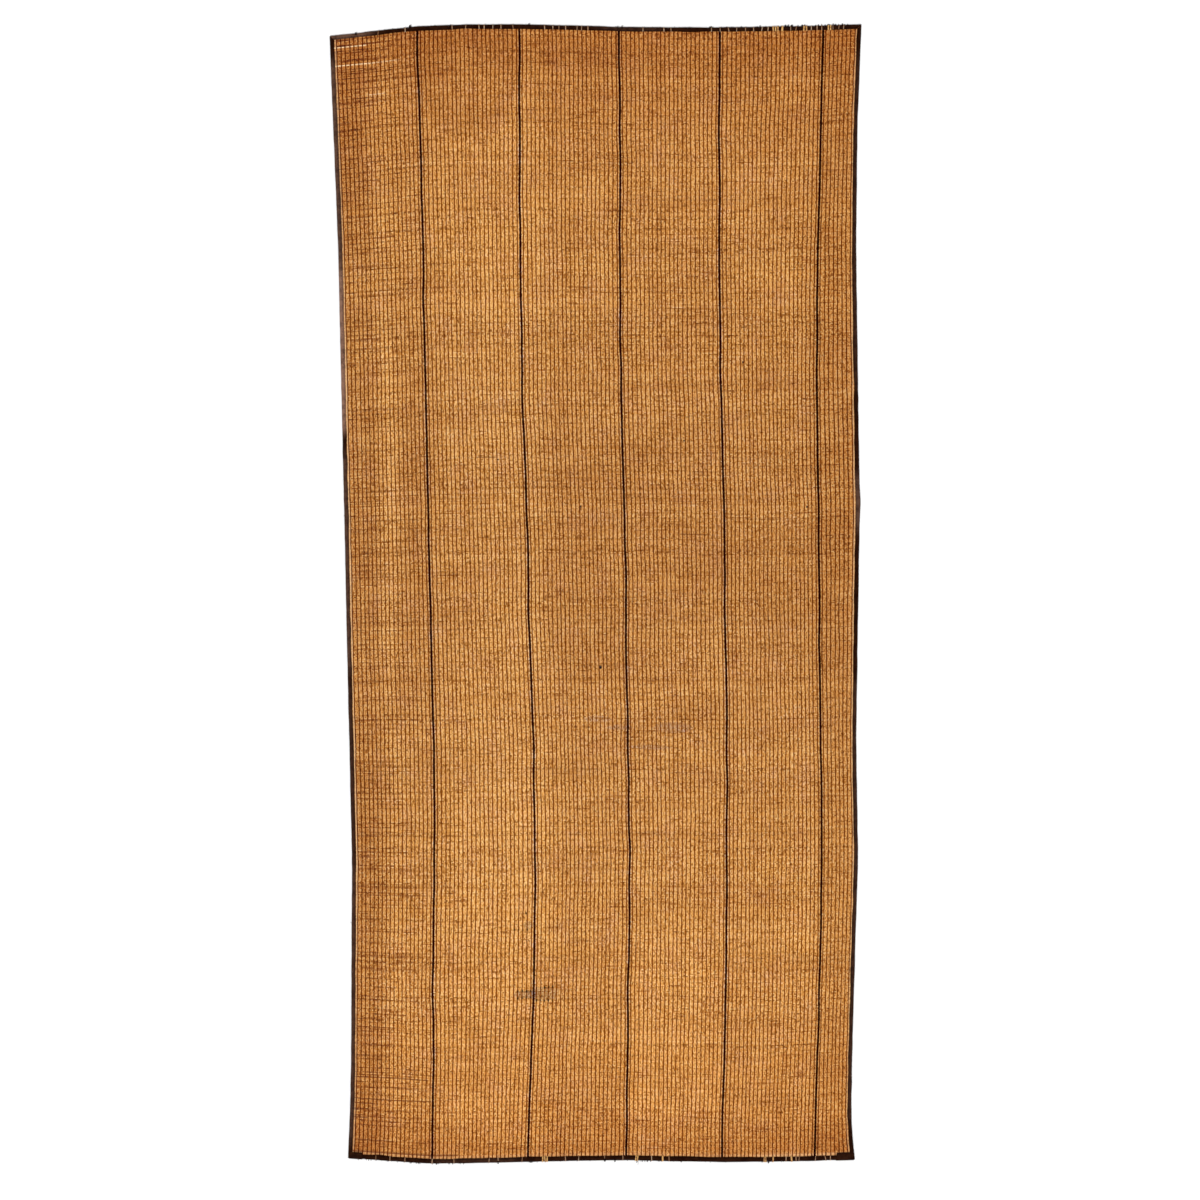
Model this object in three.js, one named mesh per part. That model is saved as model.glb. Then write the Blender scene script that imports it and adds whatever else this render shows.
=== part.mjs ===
// A long floor mat of fine reeds, woven together by leather thongs and bound with folded leather.
// It lies flat, with +Z up and +Y along its length. The origin is the middle of its underside.
// All sizes are in millimetres.

import * as THREE from 'three';

// Thickness of each layer
const REED_TOP = 3.4; // upper face of the reeds
const THONG_TOP = 4.2; // crest of a brown thong row
const RIM_UNDER = 1.6; // underside of the field inside a folded binding
const LEATHER = 1.3;
const GAP = 0.3; // clearance between pieces that touch

// Widths, measured in from the mat's outline
const BINDING_WIDTHS = { left: 12.5, right: 12, top: 14, bottom: 15 };
const FOLD_ROUND = 0.8; // how far the corners of a fold are rounded off
const MITRE_GAP = 0.24; // each binding's end is drawn back this far along its edge
const FIELD_INSET = 1.8; // the field's own edge, inside the fold
const RIM_WIDTH = 17; // the field's raised rim
const RIM_RAMP = 21; // where the rim has come down to the floor
const RIBS_START = 16; // thong rows rise from here, at the two ends
const RIBS_FULL = 22;

// Thongs
const THONG_WIDTH = 4.8;
const DARK_WIDTH = 6;
const DARK_THICKNESS = 1.2;
const DARK_END = Math.max(BINDING_WIDTHS.top, BINDING_WIDTHS.bottom) + 0.6;
const DARK_ROUND = 0.4;

// Strips that pass over an end binding, and the patch on one corner
const LACING_THICKNESS = 0.8;
const PATCH_THICKNESS = 1;
const PATCH_DEPTH = 24;

// Plan of the mat: where its sides and dark lines lie, a row for each section from the bottom end up
const SECTIONS = [
  { along: 0, left: -792, line1: -523, line2: -217, line3: 98, line4: 405, line5: 701, right: 830 },
  { along: 115, left: -787, line1: -521, line2: -214, line3: 100, line4: 406, line5: 703, right: 818 },
  { along: 323, left: -782, line1: -520, line2: -206, line3: 102, line4: 412, line5: 709, right: 821 },
  { along: 643, left: -781, line1: -519, line2: -196, line3: 106, line4: 419, line5: 718, right: 830 },
  { along: 963, left: -779, line1: -516, line2: -192, line3: 110, line4: 420, line5: 724, right: 840 },
  { along: 1347, left: -788, line1: -518, line2: -200, line3: 104, line4: 420, line5: 720, right: 834 },
  { along: 1731, left: -797, line1: -528, line2: -212, line3: 98, line4: 415, line5: 716, right: 840 },
  { along: 2083, left: -804, line1: -536, line2: -220, line3: 92, line4: 411, line5: 715, right: 846 },
  { along: 2467, left: -813, line1: -543, line2: -235, line3: 81, line4: 401, line5: 708, right: 840 },
  { along: 2915, left: -823, line1: -552, line2: -241, line3: 78, line4: 396, line5: 711, right: 834 },
  { along: 3299, left: -838, line1: -562, line2: -243, line3: 78, line4: 396, line5: 721, right: 838 },
  { along: 3628, left: -851, line1: -571, line2: -244, line3: 74, line4: 398, line5: 729, right: 851 },
];

// How the two ends bow, at each side and dark line
const ENDS = [
  { at: 'left', bottom: -1805, top: 1786 },
  { at: 'line1', bottom: -1823, top: 1817 },
  { at: 'line2', bottom: -1817, top: 1823 },
  { at: 'line3', bottom: -1812, top: 1815 },
  { at: 'line4', bottom: -1818, top: 1813 },
  { at: 'line5', bottom: -1814, top: 1819 },
  { at: 'right', bottom: -1810, top: 1823 },
];

// Brown thong rows in each panel, with the first and last row's distance from the panel's sides
const PANELS = [
  { rows: 19, first: 20, last: 9.4 },
  { rows: 23, first: 9.4, last: 9.4 },
  { rows: 23, first: 9.4, last: 9.4 },
  { rows: 23, first: 9.4, last: 9.4 },
  { rows: 23, first: 9.4, last: 9.4 },
  { rows: 8, first: 9.4, last: 19 },
];

// Tan strips over the end bindings: middle, measured across the mat, and width
const LACINGS = [
  { end: 'top', across: 1376, width: 21 },
  { end: 'top', across: 1396, width: 10 },
  { end: 'top', across: 1464, width: 15 },
  { end: 'top', across: 1537, width: 14 },
  { end: 'bottom', across: 639, width: 21 },
  { end: 'bottom', across: 931, width: 12 },
  { end: 'bottom', across: 1016, width: 9 },
  { end: 'bottom', across: 1353, width: 11 },
  { end: 'bottom', across: 1380, width: 7 },
  { end: 'bottom', across: 1441, width: 9 },
];
const PATCH = { from: 1582, to: 1637 };

const COLOURS = {
  reed: { color: 0xc68c4f, roughness: 0.75 },
  darkThong: { color: 0x1c1215, roughness: 0.6 },
  binding: { color: 0x231815, roughness: 0.55 },
  lacing: { color: 0xc99a5c, roughness: 0.7 },
};

// Places on the mat are given as across, from the left side, and along, from the bottom end
const LINES = ENDS.map((end) => end.at);
const LENGTH = SECTIONS.at(-1).along;
const LINE_ACROSS = LINES.map((line) => meanDistance(line));
const WIDTH = LINE_ACROSS.at(-1);

function meanDistance(line) {
  const sum = SECTIONS.reduce((total, section) => total + section[line] - section.left, 0);
  return sum / SECTIONS.length;
}

// A smooth curve through the ends' values, sampled at each line and midway between lines
function smoothBow(end) {
  const heights = ENDS.map((row) => row[end]);
  const bow = [heights[0]];
  for (let i = 0; i + 1 < heights.length; i += 1) {
    const before = heights[Math.max(i - 1, 0)];
    const after = heights[Math.min(i + 2, heights.length - 1)];
    const middle = (9 * (heights[i] + heights[i + 1]) - before - after) / 16;
    bow.push(middle, heights[i + 1]);
  }
  return bow;
}

const BOW = { bottom: smoothBow('bottom'), top: smoothBow('top') };

// The item that a position in a list starts from; outside the list it is the first or the last but one
function itemBefore(list, at) {
  return THREE.MathUtils.clamp(Math.floor(at), 0, list.length - 2);
}

function between(values, at) {
  const i = itemBefore(values, at);
  return THREE.MathUtils.lerp(values[i], values[i + 1], at - i);
}

// The position of a value in a rising list, such as 2.5 for midway between its items 2 and 3
function positionIn(list, value) {
  const found = list.findIndex((item) => item > value);
  const i = found < 0 ? list.length - 2 : Math.max(found - 1, 0);
  return i + (value - list[i]) / (list[i + 1] - list[i]);
}

function place(across, along) {
  const line = positionIn(LINE_ACROSS, across);
  const section = positionIn(SECTIONS.map((row) => row.along), along);
  const left = itemBefore(LINES, line);
  const sides = [LINES[left], LINES[left + 1]].map((name) =>
    between(SECTIONS.map((row) => row[name]), section));
  const x = THREE.MathUtils.lerp(sides[0], sides[1], line - left);
  const y = THREE.MathUtils.lerp(between(BOW.bottom, 2 * line), between(BOW.top, 2 * line), along / LENGTH);
  return [x, y];
}

// Stations that neighbouring pieces share, so that their edges stay parallel
const INNER_SECTIONS = SECTIONS.slice(1, -1).map((section) => section.along);
const ALONG_STATIONS = [RIBS_FULL, ...INNER_SECTIONS, LENGTH - RIBS_FULL];
const ACROSS_STATIONS = LINE_ACROSS
  .flatMap((line, i) => [line, (line + LINE_ACROSS[i + 1]) / 2])
  .slice(1, -2);

// Turns points and triangles into a geometry whose faces point outwards
function closedGeometry(points, triangles) {
  const [a, b, c] = [new THREE.Vector3(), new THREE.Vector3(), new THREE.Vector3()];
  const volume = triangles.reduce((sum, [i, j, k]) => {
    a.set(...points[i]);
    b.set(...points[j]);
    c.set(...points[k]);
    return sum + a.dot(b.cross(c));
  }, 0);
  const outward = volume > 0 ? triangles : triangles.map(([i, j, k]) => [i, k, j]);
  const geometry = new THREE.BufferGeometry();
  geometry.setAttribute('position', new THREE.Float32BufferAttribute(points.flat(), 3));
  geometry.setIndex(outward.flat());
  geometry.computeVertexNormals();
  return geometry;
}

function quad(a, b, c, d) {
  return [[a, b, c], [a, c, d]];
}

function flatFace(outline) {
  return THREE.ShapeUtils.triangulateShape(outline.map(([x, y]) => new THREE.Vector2(x, y)), []);
}

// A strip whose section is drawn as [inset, height] points and set at each station along it
function strip(section, stations, placeAt) {
  const count = section.length;
  const points = stations.flatMap((station, s) =>
    section.map(([inset, height]) => [...placeAt(station, inset, s), height]));
  const triangles = [];
  for (let s = 0; s + 1 < stations.length; s += 1) {
    for (let i = 0; i < count; i += 1) {
      const j = (i + 1) % count;
      triangles.push(...quad(s * count + i, s * count + j, (s + 1) * count + j, (s + 1) * count + i));
    }
  }
  const last = (stations.length - 1) * count;
  flatFace(section).forEach(([i, j, k]) => triangles.push([i, k, j], [last + i, last + j, last + k]));
  return closedGeometry(points, triangles);
}

// Ribs across the field: the foot, crest and foot of each brown thong row
function ribProfile() {
  const profile = [{ across: RIM_WIDTH, height: REED_TOP }];
  PANELS.forEach((panel, p) => {
    const first = LINE_ACROSS[p] + panel.first;
    const last = LINE_ACROSS[p + 1] - panel.last;
    for (let row = 0; row < panel.rows; row += 1) {
      const middle = THREE.MathUtils.lerp(first, last, row / (panel.rows - 1));
      profile.push({ across: middle - THONG_WIDTH / 2, height: REED_TOP });
      profile.push({ across: middle, height: THONG_TOP });
      profile.push({ across: middle + THONG_WIDTH / 2, height: REED_TOP });
    }
  });
  profile.push({ across: WIDTH - RIM_WIDTH, height: REED_TOP });
  return profile;
}

// A ring round the mat at one inset, with the stations of its ends and sides as its corners
function ring(inset) {
  const ends = [inset, ...ACROSS_STATIONS, WIDTH - inset];
  const bottom = ends.map((across) => place(across, inset));
  const right = ALONG_STATIONS.map((along) => place(WIDTH - inset, along));
  const top = ends.map((across) => place(across, LENGTH - inset)).reverse();
  const left = ALONG_STATIONS.map((along) => place(inset, along)).reverse();
  return [...bottom, ...right, ...top, ...left];
}

// The numbers of a ring's points, each list with its corners: ends from the left, sides from the bottom
function ringSides(start) {
  const ends = ACROSS_STATIONS.length + 2;
  const sides = ALONG_STATIONS.length;
  const run = (from, count, step) => Array.from({ length: count }, (_, i) => from + step * i);
  return {
    bottom: run(start, ends, 1),
    right: run(start + ends - 1, sides + 2, 1),
    top: run(start + 2 * ends + sides - 1, ends, -1),
    left: [start, ...run(start + 2 * (ends + sides) - 1, sides + 1, -1)],
  };
}

// Triangles between two rows of points that are divided differently, each given with its places across
function joinRows(fine, coarse) {
  const triangles = [];
  let [f, c] = [0, 0];
  while (f + 1 < fine.points.length || c + 1 < coarse.points.length) {
    const stepFine = c + 1 === coarse.points.length
      || (f + 1 < fine.points.length && fine.across[f + 1] <= coarse.across[c + 1]);
    const [from, to] = [fine.points[f], coarse.points[c]];
    if (stepFine) f += 1;
    else c += 1;
    triangles.push([from, to, stepFine ? fine.points[f] : coarse.points[c]]);
  }
  return triangles;
}

function turnedOver(triangles) {
  return triangles.map(([i, j, k]) => [i, k, j]);
}

function fieldGeometry() {
  const profile = ribProfile();
  const rows = [RIBS_START, ...ALONG_STATIONS, LENGTH - RIBS_START];
  const points = [];
  const triangles = [];

  // Upper face, ribbed but for its first and last row
  const grid = rows.map((along, r) => profile.map(({ across, height }) => {
    const ribbed = r > 0 && r < rows.length - 1;
    return points.push([...place(across, along), ribbed ? height : REED_TOP]) - 1;
  }));
  for (let r = 0; r + 1 < rows.length; r += 1) {
    for (let i = 0; i + 1 < profile.length; i += 1) {
      triangles.push(...quad(grid[r][i], grid[r][i + 1], grid[r + 1][i + 1], grid[r + 1][i]));
    }
  }

  // Rings down the outer edge and in under the rim, to the underside
  const rings = [
    { inset: FIELD_INSET, height: REED_TOP },
    { inset: FIELD_INSET, height: RIM_UNDER },
    { inset: RIM_WIDTH, height: RIM_UNDER },
    { inset: RIM_RAMP, height: 0 },
  ].map(({ inset, height }) => ring(inset).map((spot) => points.push([...spot, height]) - 1));
  for (let k = 0; k + 1 < rings.length; k += 1) {
    rings[k].forEach((point, i) => {
      const next = (i + 1) % rings[k].length;
      triangles.push(...quad(rings[k][next], point, rings[k + 1][i], rings[k + 1][next]));
    });
  }

  // Upper face of the rim, from the ribbed part to the outer ring
  const outer = ringSides(rings[0][0]);
  const outerAcross = [FIELD_INSET, ...ACROSS_STATIONS, WIDTH - FIELD_INSET];
  const ribAcross = profile.map(({ across }) => across);
  const lastRow = grid.at(-1);
  triangles.push(...joinRows(
    { points: grid[0], across: ribAcross }, { points: outer.bottom, across: outerAcross }));
  triangles.push(...turnedOver(joinRows(
    { points: lastRow, across: ribAcross }, { points: outer.top, across: outerAcross })));
  for (let r = 0; r + 1 < rows.length; r += 1) {
    triangles.push(...quad(outer.left[r], grid[r][0], grid[r + 1][0], outer.left[r + 1]));
    triangles.push(...quad(grid[r].at(-1), outer.right[r], outer.right[r + 1], grid[r + 1].at(-1)));
  }

  // Flat underside
  const under = ringSides(rings.at(-1)[0]);
  const sideToSide = [RIM_RAMP, WIDTH - RIM_RAMP];
  const underAcross = [RIM_RAMP, ...ACROSS_STATIONS, WIDTH - RIM_RAMP];
  for (let r = 1; r + 2 < under.left.length; r += 1) {
    triangles.push(...quad(under.left[r + 1], under.right[r + 1], under.right[r], under.left[r]));
  }
  triangles.push(...joinRows(
    { points: under.bottom, across: underAcross },
    { points: [under.left[1], under.right[1]], across: sideToSide }));
  triangles.push(...turnedOver(joinRows(
    { points: under.top, across: underAcross },
    { points: [under.left.at(-2), under.right.at(-2)], across: sideToSide })));
  return closedGeometry(points, triangles);
}

// Folded leather in section: up from under the rim, round the outer edge and back over the top
function bindingSection(width) {
  const upper = REED_TOP + GAP;
  const top = upper + LEATHER;
  return [
    [0, FOLD_ROUND],
    [FOLD_ROUND, 0],
    [width, 0],
    [width, LEATHER],
    [LEATHER, LEATHER],
    [LEATHER, upper],
    [width, upper],
    [width, top],
    [FOLD_ROUND, top],
    [0, top - FOLD_ROUND],
  ];
}

// The bindings meet at the corners along mitred ends
function bindingGeometry(side) {
  const lengthwise = side === 'left' || side === 'right';
  const inner = lengthwise ? ALONG_STATIONS : ACROSS_STATIONS;
  const full = lengthwise ? LENGTH : WIDTH;
  const stations = [0, ...inner, full];
  const far = side === 'right' || side === 'top';
  const span = lengthwise ? WIDTH : LENGTH;
  const placeAt = (station, inset, s) => {
    const mitre = inset + MITRE_GAP;
    const run = s === 0 ? mitre : s === stations.length - 1 ? full - mitre : station;
    const depth = far ? span - inset : inset;
    return lengthwise ? place(depth, run) : place(run, depth);
  };
  return strip(bindingSection(BINDING_WIDTHS[side]), stations, placeAt);
}

function darkThongGeometry(line) {
  const half = DARK_WIDTH / 2;
  const under = REED_TOP + GAP;
  const top = under + DARK_THICKNESS;
  const section = [
    [-half, under],
    [half, under],
    [half, top - DARK_ROUND],
    [half - DARK_ROUND, top],
    [DARK_ROUND - half, top],
    [-half, top - DARK_ROUND],
  ];
  const stations = [DARK_END, ...ALONG_STATIONS, LENGTH - DARK_END];
  return strip(section, stations, (along, offset) => place(LINE_ACROSS[line] + offset, along));
}

// A strip over an end binding: it lies on top and turns down round the outer edge
function overEdgeGeometry(end, from, to, depth, thickness) {
  const under = REED_TOP + LEATHER + 2 * GAP;
  const section = [
    [depth, under],
    [depth, under + thickness],
    [-GAP - thickness, under + thickness],
    [-GAP - thickness, GAP],
    [-GAP, GAP],
    [-GAP, under],
  ];
  const placeAt = (across, inset) => place(across, end === 'top' ? LENGTH - inset : inset);
  return strip(section, [from, to], placeAt);
}

function lacingGeometry({ end, across, width }) {
  const depth = BINDING_WIDTHS[end] - 1;
  return overEdgeGeometry(end, across - width / 2, across + width / 2, depth, LACING_THICKNESS);
}

function piece(name, geometry, { color, roughness }) {
  const material = new THREE.MeshStandardMaterial({ color, roughness, metalness: 0 });
  const mesh = new THREE.Mesh(geometry, material);
  mesh.name = name;
  return mesh;
}

const mat = new THREE.Group();
mat.add(piece('field', fieldGeometry(), COLOURS.reed));
for (let line = 1; line < LINES.length - 1; line += 1) {
  mat.add(piece(`dark_thong_${line}`, darkThongGeometry(line), COLOURS.darkThong));
}
for (const side of ['left', 'right', 'top', 'bottom']) {
  mat.add(piece(`binding_${side}`, bindingGeometry(side), COLOURS.binding));
}
for (const end of ['top', 'bottom']) {
  LACINGS.filter((lacing) => lacing.end === end).forEach((lacing, i) => {
    mat.add(piece(`lacing_${end}_${i + 1}`, lacingGeometry(lacing), COLOURS.lacing));
  });
}
const patch = overEdgeGeometry('bottom', PATCH.from, PATCH.to, PATCH_DEPTH, PATCH_THICKNESS);
mat.add(piece('corner_patch', patch, COLOURS.binding));

export default mat;
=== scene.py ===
# A long floor mat of fine reeds, woven together by leather thongs and bound with folded leather,
# laid flat and seen from straight above. Blender 4.5, in metres, with +Z up.
import functools
import math

import bpy
import numpy as np
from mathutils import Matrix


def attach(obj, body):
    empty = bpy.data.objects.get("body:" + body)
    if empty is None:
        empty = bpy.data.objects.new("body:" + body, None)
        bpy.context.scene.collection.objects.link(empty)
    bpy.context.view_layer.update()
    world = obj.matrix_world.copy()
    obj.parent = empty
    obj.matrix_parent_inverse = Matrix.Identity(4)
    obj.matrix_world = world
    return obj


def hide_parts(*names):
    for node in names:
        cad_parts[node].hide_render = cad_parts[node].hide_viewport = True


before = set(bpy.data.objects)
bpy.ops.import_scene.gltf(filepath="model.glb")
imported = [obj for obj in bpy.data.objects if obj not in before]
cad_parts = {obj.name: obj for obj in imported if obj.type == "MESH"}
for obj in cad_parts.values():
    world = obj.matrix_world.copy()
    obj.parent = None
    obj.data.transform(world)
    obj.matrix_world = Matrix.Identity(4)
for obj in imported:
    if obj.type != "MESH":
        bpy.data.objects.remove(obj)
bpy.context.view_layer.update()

MM = 0.001
rng = np.random.default_rng(11)

# Heights of the layers, the same as the solids'
REED_TOP = 3.4 * MM
GAP = 0.3 * MM
LEATHER = 1.3 * MM
BINDING_TOP = REED_TOP + GAP + LEATHER

# Widths measured in from the mat's outline. The weave is squashed as far as the bindings reach and
# eases out past them, and it lies freely from LOOSE_TO on.
BINDING_WIDTHS = {"left": 13.2 * MM, "right": 13 * MM, "top": 14.2 * MM, "bottom": 15.6 * MM}
RIM_EASE = 6 * MM
LOOSE_FROM, LOOSE_TO = 15 * MM, 60 * MM

# Plan of the mat, a row for each section from the bottom end up: how far along it is, and where the
# left side, the five dark lines and the right side are
SECTIONS = np.array([
    (0, -792, -523, -217, 98, 405, 701, 830),
    (115, -787, -521, -214, 100, 406, 703, 818),
    (323, -782, -520, -206, 102, 412, 709, 821),
    (643, -781, -519, -196, 106, 419, 718, 830),
    (963, -779, -516, -192, 110, 420, 724, 840),
    (1347, -788, -518, -200, 104, 420, 720, 834),
    (1731, -797, -528, -212, 98, 415, 716, 840),
    (2083, -804, -536, -220, 92, 411, 715, 846),
    (2467, -813, -543, -235, 81, 401, 708, 840),
    (2915, -823, -552, -241, 78, 396, 711, 834),
    (3299, -838, -562, -243, 78, 396, 721, 838),
    (3628, -851, -571, -244, 74, 398, 729, 851),
]) * MM

# How the two ends bow, a column for each side and dark line
END_BOTTOM = np.array((-1805, -1823, -1817, -1812, -1818, -1814, -1810)) * MM
END_TOP = np.array((1786, 1817, 1823, 1815, 1813, 1819, 1823)) * MM

# Each panel's count of brown thong rows, with the first and last row's distance from its sides
ROW_INSET = 9.4 * MM
MIDDLE_PANEL = (23, ROW_INSET, ROW_INSET)
PANELS = ((19, 20 * MM, ROW_INSET), *[MIDDLE_PANEL] * 4, (8, ROW_INSET, 19 * MM))

# Places on the mat are given as across, from its left side, and along, from its bottom end
LENGTH = SECTIONS[-1, 0]
LINE_ACROSS = (SECTIONS[:, 1:] - SECTIONS[:, 1:2]).mean(0)
WIDTH = LINE_ACROSS[-1]

# Reeds. They end REED_END inside the outline, and are squashed round RIM_MIDDLE in the bindings.
REED_PITCH = 3.8 * MM
REED_END = 3 * MM
REED_MIDDLE = 2.0 * MM
REED_HALF_HEIGHT = 1.15 * MM
REED_COUNT = round((LENGTH - 2 * REED_END) / REED_PITCH)
RIM_SQUASH = 0.53
RIM_MIDDLE = 2.5 * MM

# Thongs. Two share a row, one above the reeds and one below, and change places after a run of so
# many reeds. Each keeps to its side until a little past the last reed of its run. PAIR_APART is a
# share of their width.
BROWN_ROW = {"width": 3.3 * MM, "thickness": 0.8 * MM, "run": 4.4, "drift_reach": 0.5 * MM}
DARK_ROW = {"width": 6.7 * MM, "thickness": 1.1 * MM, "run": 2.0, "drift_reach": 0.3 * MM}
DRIFT_WAVE = 55 * MM
PAIR_APART = 0.05
TURN_REACH = 1.25 * MM
TURN_SINK = 0.15 * MM

# A row's runs start early or late by up to ROW_SHIFT of a run all together, and RUN_SHIFT each. The
# brown rows stand about ROW_UNEVEN aside.
ROW_SHIFT, RUN_SHIFT = 0.3, 0.2
ROW_UNEVEN = 0.4 * MM
THONG_TONES = (0.45, 0.95)

# How uneven reeds and thongs are, as shares of their usual size: middle, spread, least and most
REED_WIDTHS = (1, 0.18, 0.62, 1.45)
REED_HEIGHTS = (0.97, 0.07, 0.8, 1.05)
THONG_WIDTHS = (1, 0.08, 0.8, 1.2)


def smooth_step(value, low, high):
    t = np.clip((value - low) / (high - low), 0, 1)
    return t * t * (3 - 2 * t)


def uneven(count, middle, spread, least, most):
    """Random values about a middle one, held between the least and the most."""
    return np.clip(rng.normal(middle, spread, count), least, most)


def wander(at, reach, wave):
    """A smooth seeded wander along `at`, about `reach` to each side, in waves about `wave` long."""
    start = at.min() - wave
    knots = rng.normal(0, reach, int((at.max() - start) / wave) + 3)
    step = (at - start) / wave
    i = step.astype(int)
    t = smooth_step(step - i, 0, 1)
    return knots[i] * (1 - t) + knots[i + 1] * t


# Layout of the flat cut on the mat

# The plan is worked out at every step along the mat, and its sides are eased over SIDE_EASE steps
MAP_STEP = 6 * MM
SIDE_EASE = 15
MAP_ALONG = np.linspace(0, LENGTH, round(LENGTH / MAP_STEP) + 1)

# How far the weave wanders across and along, and in what waves
WANDER_ACROSS = (0.9 * MM, 110 * MM)
WANDER_ALONG = (1.6 * MM, 150 * MM)


def edge_rings(side):
    """How far in from a side a reed has its rings: its tip, and where it leaves the binding."""
    width = BINDING_WIDTHS[side]
    return np.array((REED_END, width + MM, width + RIM_EASE))


STATIONS = np.sort(np.concatenate((
    LINE_ACROSS, (LINE_ACROSS[:-1] + LINE_ACROSS[1:]) / 2,
    edge_rings("left"), WIDTH - edge_rings("right"))))


def smooth_side(column):
    """One side or dark line, sampled along the mat and eased where its sections meet."""
    window = np.hanning(2 * SIDE_EASE + 1)
    line = np.interp(MAP_ALONG, SECTIONS[:, 0], SECTIONS[:, column])
    before = 2 * line[0] - line[SIDE_EASE:0:-1]
    after = 2 * line[-1] - line[-2:-SIDE_EASE - 2:-1]
    return np.convolve(np.concatenate((before, line, after)), window / window.sum(), "valid")


def bow(heights):
    """An end's height at each line and midway between lines, on a smooth curve."""
    padded = np.concatenate((heights[:1], heights, heights[-1:]))
    middles = (9 * (padded[1:-2] + padded[2:-1]) - padded[:-3] - padded[3:]) / 16
    curve = np.empty(2 * len(heights) - 1)
    curve[0::2] = heights
    curve[1::2] = middles
    return curve


def make_map():
    """The mat's plan as tables of x and y, a row for each station, a column for each step along."""
    sides = np.array([smooth_side(1 + line) for line in range(len(LINE_ACROSS))])
    places = np.interp(STATIONS, LINE_ACROSS, np.arange(len(LINE_ACROSS)))
    half_places = np.arange(2 * len(LINE_ACROSS) - 1)
    bottom = np.interp(2 * places, half_places, bow(END_BOTTOM))
    top = np.interp(2 * places, half_places, bow(END_TOP))
    x_rows, y_rows = [], []
    for place, low, high, across in zip(places, bottom, top, STATIONS):
        left = min(int(place), len(sides) - 2)
        x = sides[left] * (left + 1 - place) + sides[left + 1] * (place - left)
        y = low + (high - low) * MAP_ALONG / LENGTH
        inset = np.minimum(np.minimum(MAP_ALONG, LENGTH - MAP_ALONG), min(across, WIDTH - across))
        loose = smooth_step(inset, LOOSE_FROM, LOOSE_TO)
        x_rows.append(x + loose * wander(MAP_ALONG, *WANDER_ACROSS))
        y_rows.append(y + loose * wander(MAP_ALONG, *WANDER_ALONG))
    return np.array(x_rows), np.array(y_rows)


MAP_X, MAP_Y = make_map()


def lay(across, along):
    """Where spots of the flat cut lie on the mat. One past the outline is straight out from it."""
    inside_across = np.clip(across, 0, WIDTH)
    inside_along = np.clip(along, 0, LENGTH)
    station = np.interp(inside_across, STATIONS, np.arange(len(STATIONS)))
    i = np.clip(station.astype(int), 0, len(STATIONS) - 2)
    step = inside_along / LENGTH * (len(MAP_ALONG) - 1)
    j = np.clip(step.astype(int), 0, len(MAP_ALONG) - 2)
    t, u = station - i, step - j
    spots = []
    for table in (MAP_X, MAP_Y):
        low = table[i, j] * (1 - t) + table[i + 1, j] * t
        high = table[i, j + 1] * (1 - t) + table[i + 1, j + 1] * t
        spots.append(low * (1 - u) + high * u)
    return spots[0] + across - inside_across, spots[1] + along - inside_along


def rim(across, along):
    """1 inside the folded binding, 0 past its inner edge."""
    insets = {"left": across, "right": WIDTH - across, "bottom": along, "top": LENGTH - along}
    covered = [
        1 - smooth_step(insets[side], width, width + RIM_EASE)
        for side, width in BINDING_WIDTHS.items()]
    return np.max(np.broadcast_arrays(*covered), axis=0)


def squash(height, across, along):
    """Heights in the weave, pressed together inside the folded binding."""
    pressed = RIM_MIDDLE + (height - REED_MIDDLE) * RIM_SQUASH
    inside = rim(across, along)
    return height * (1 - inside) + pressed * inside


# Mesh tools

def deselect_all():
    bpy.ops.object.select_all(action="DESELECT")


def new_piece():
    """The primitive that was just added, with its place and turn in its mesh."""
    bpy.ops.object.transform_apply(location=True, rotation=True, scale=True)
    return bpy.context.object


def edit(piece):
    bpy.context.view_layer.objects.active = piece
    bpy.ops.object.mode_set(mode="EDIT")
    bpy.ops.mesh.select_all(action="SELECT")


def leave_edit():
    bpy.ops.object.mode_set(mode="OBJECT")


def cut_rings(piece, places, axis):
    """Cuts a ring into a piece at each of the places along an axis."""
    edit(piece)
    for place in places:
        bpy.ops.mesh.select_all(action="SELECT")
        bpy.ops.mesh.bisect(
            plane_co=[place if i == axis else 0 for i in range(3)],
            plane_no=[1 if i == axis else 0 for i in range(3)])
    leave_edit()


def face_outwards(piece):
    edit(piece)
    bpy.ops.mesh.normals_make_consistent(inside=False)
    leave_edit()


def repeat(piece, count, step, merge=False):
    """Copies a piece in a row, as one mesh."""
    bpy.context.view_layer.objects.active = piece
    row = piece.modifiers.new("row", "ARRAY")
    row.count = count
    row.use_relative_offset = False
    row.use_constant_offset = True
    row.constant_offset_displace = step
    row.use_merge_vertices = merge
    bpy.ops.object.modifier_apply(modifier=row.name)


def thicken(piece, thickness):
    bpy.context.view_layer.objects.active = piece
    wall = piece.modifiers.new("wall", "SOLIDIFY")
    wall.thickness = thickness
    wall.offset = 0
    bpy.ops.object.modifier_apply(modifier=wall.name)
    deselect_all()
    piece.select_set(True)
    bpy.ops.object.shade_smooth_by_angle(angle=math.radians(50))


def join(pieces):
    deselect_all()
    for piece in pieces:
        piece.select_set(True)
    bpy.context.view_layer.objects.active = pieces[0]
    bpy.ops.object.join()
    return bpy.context.object


def read_points(piece):
    points = np.empty(len(piece.data.vertices) * 3, np.float32)
    piece.data.vertices.foreach_get("co", points)
    return points.reshape(-1, 3).astype(float)


def write_points(piece, x, y, z):
    points = np.stack((x, y, z), -1).astype(np.float32)
    piece.data.vertices.foreach_set("co", points.ravel())
    piece.data.update()


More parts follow.
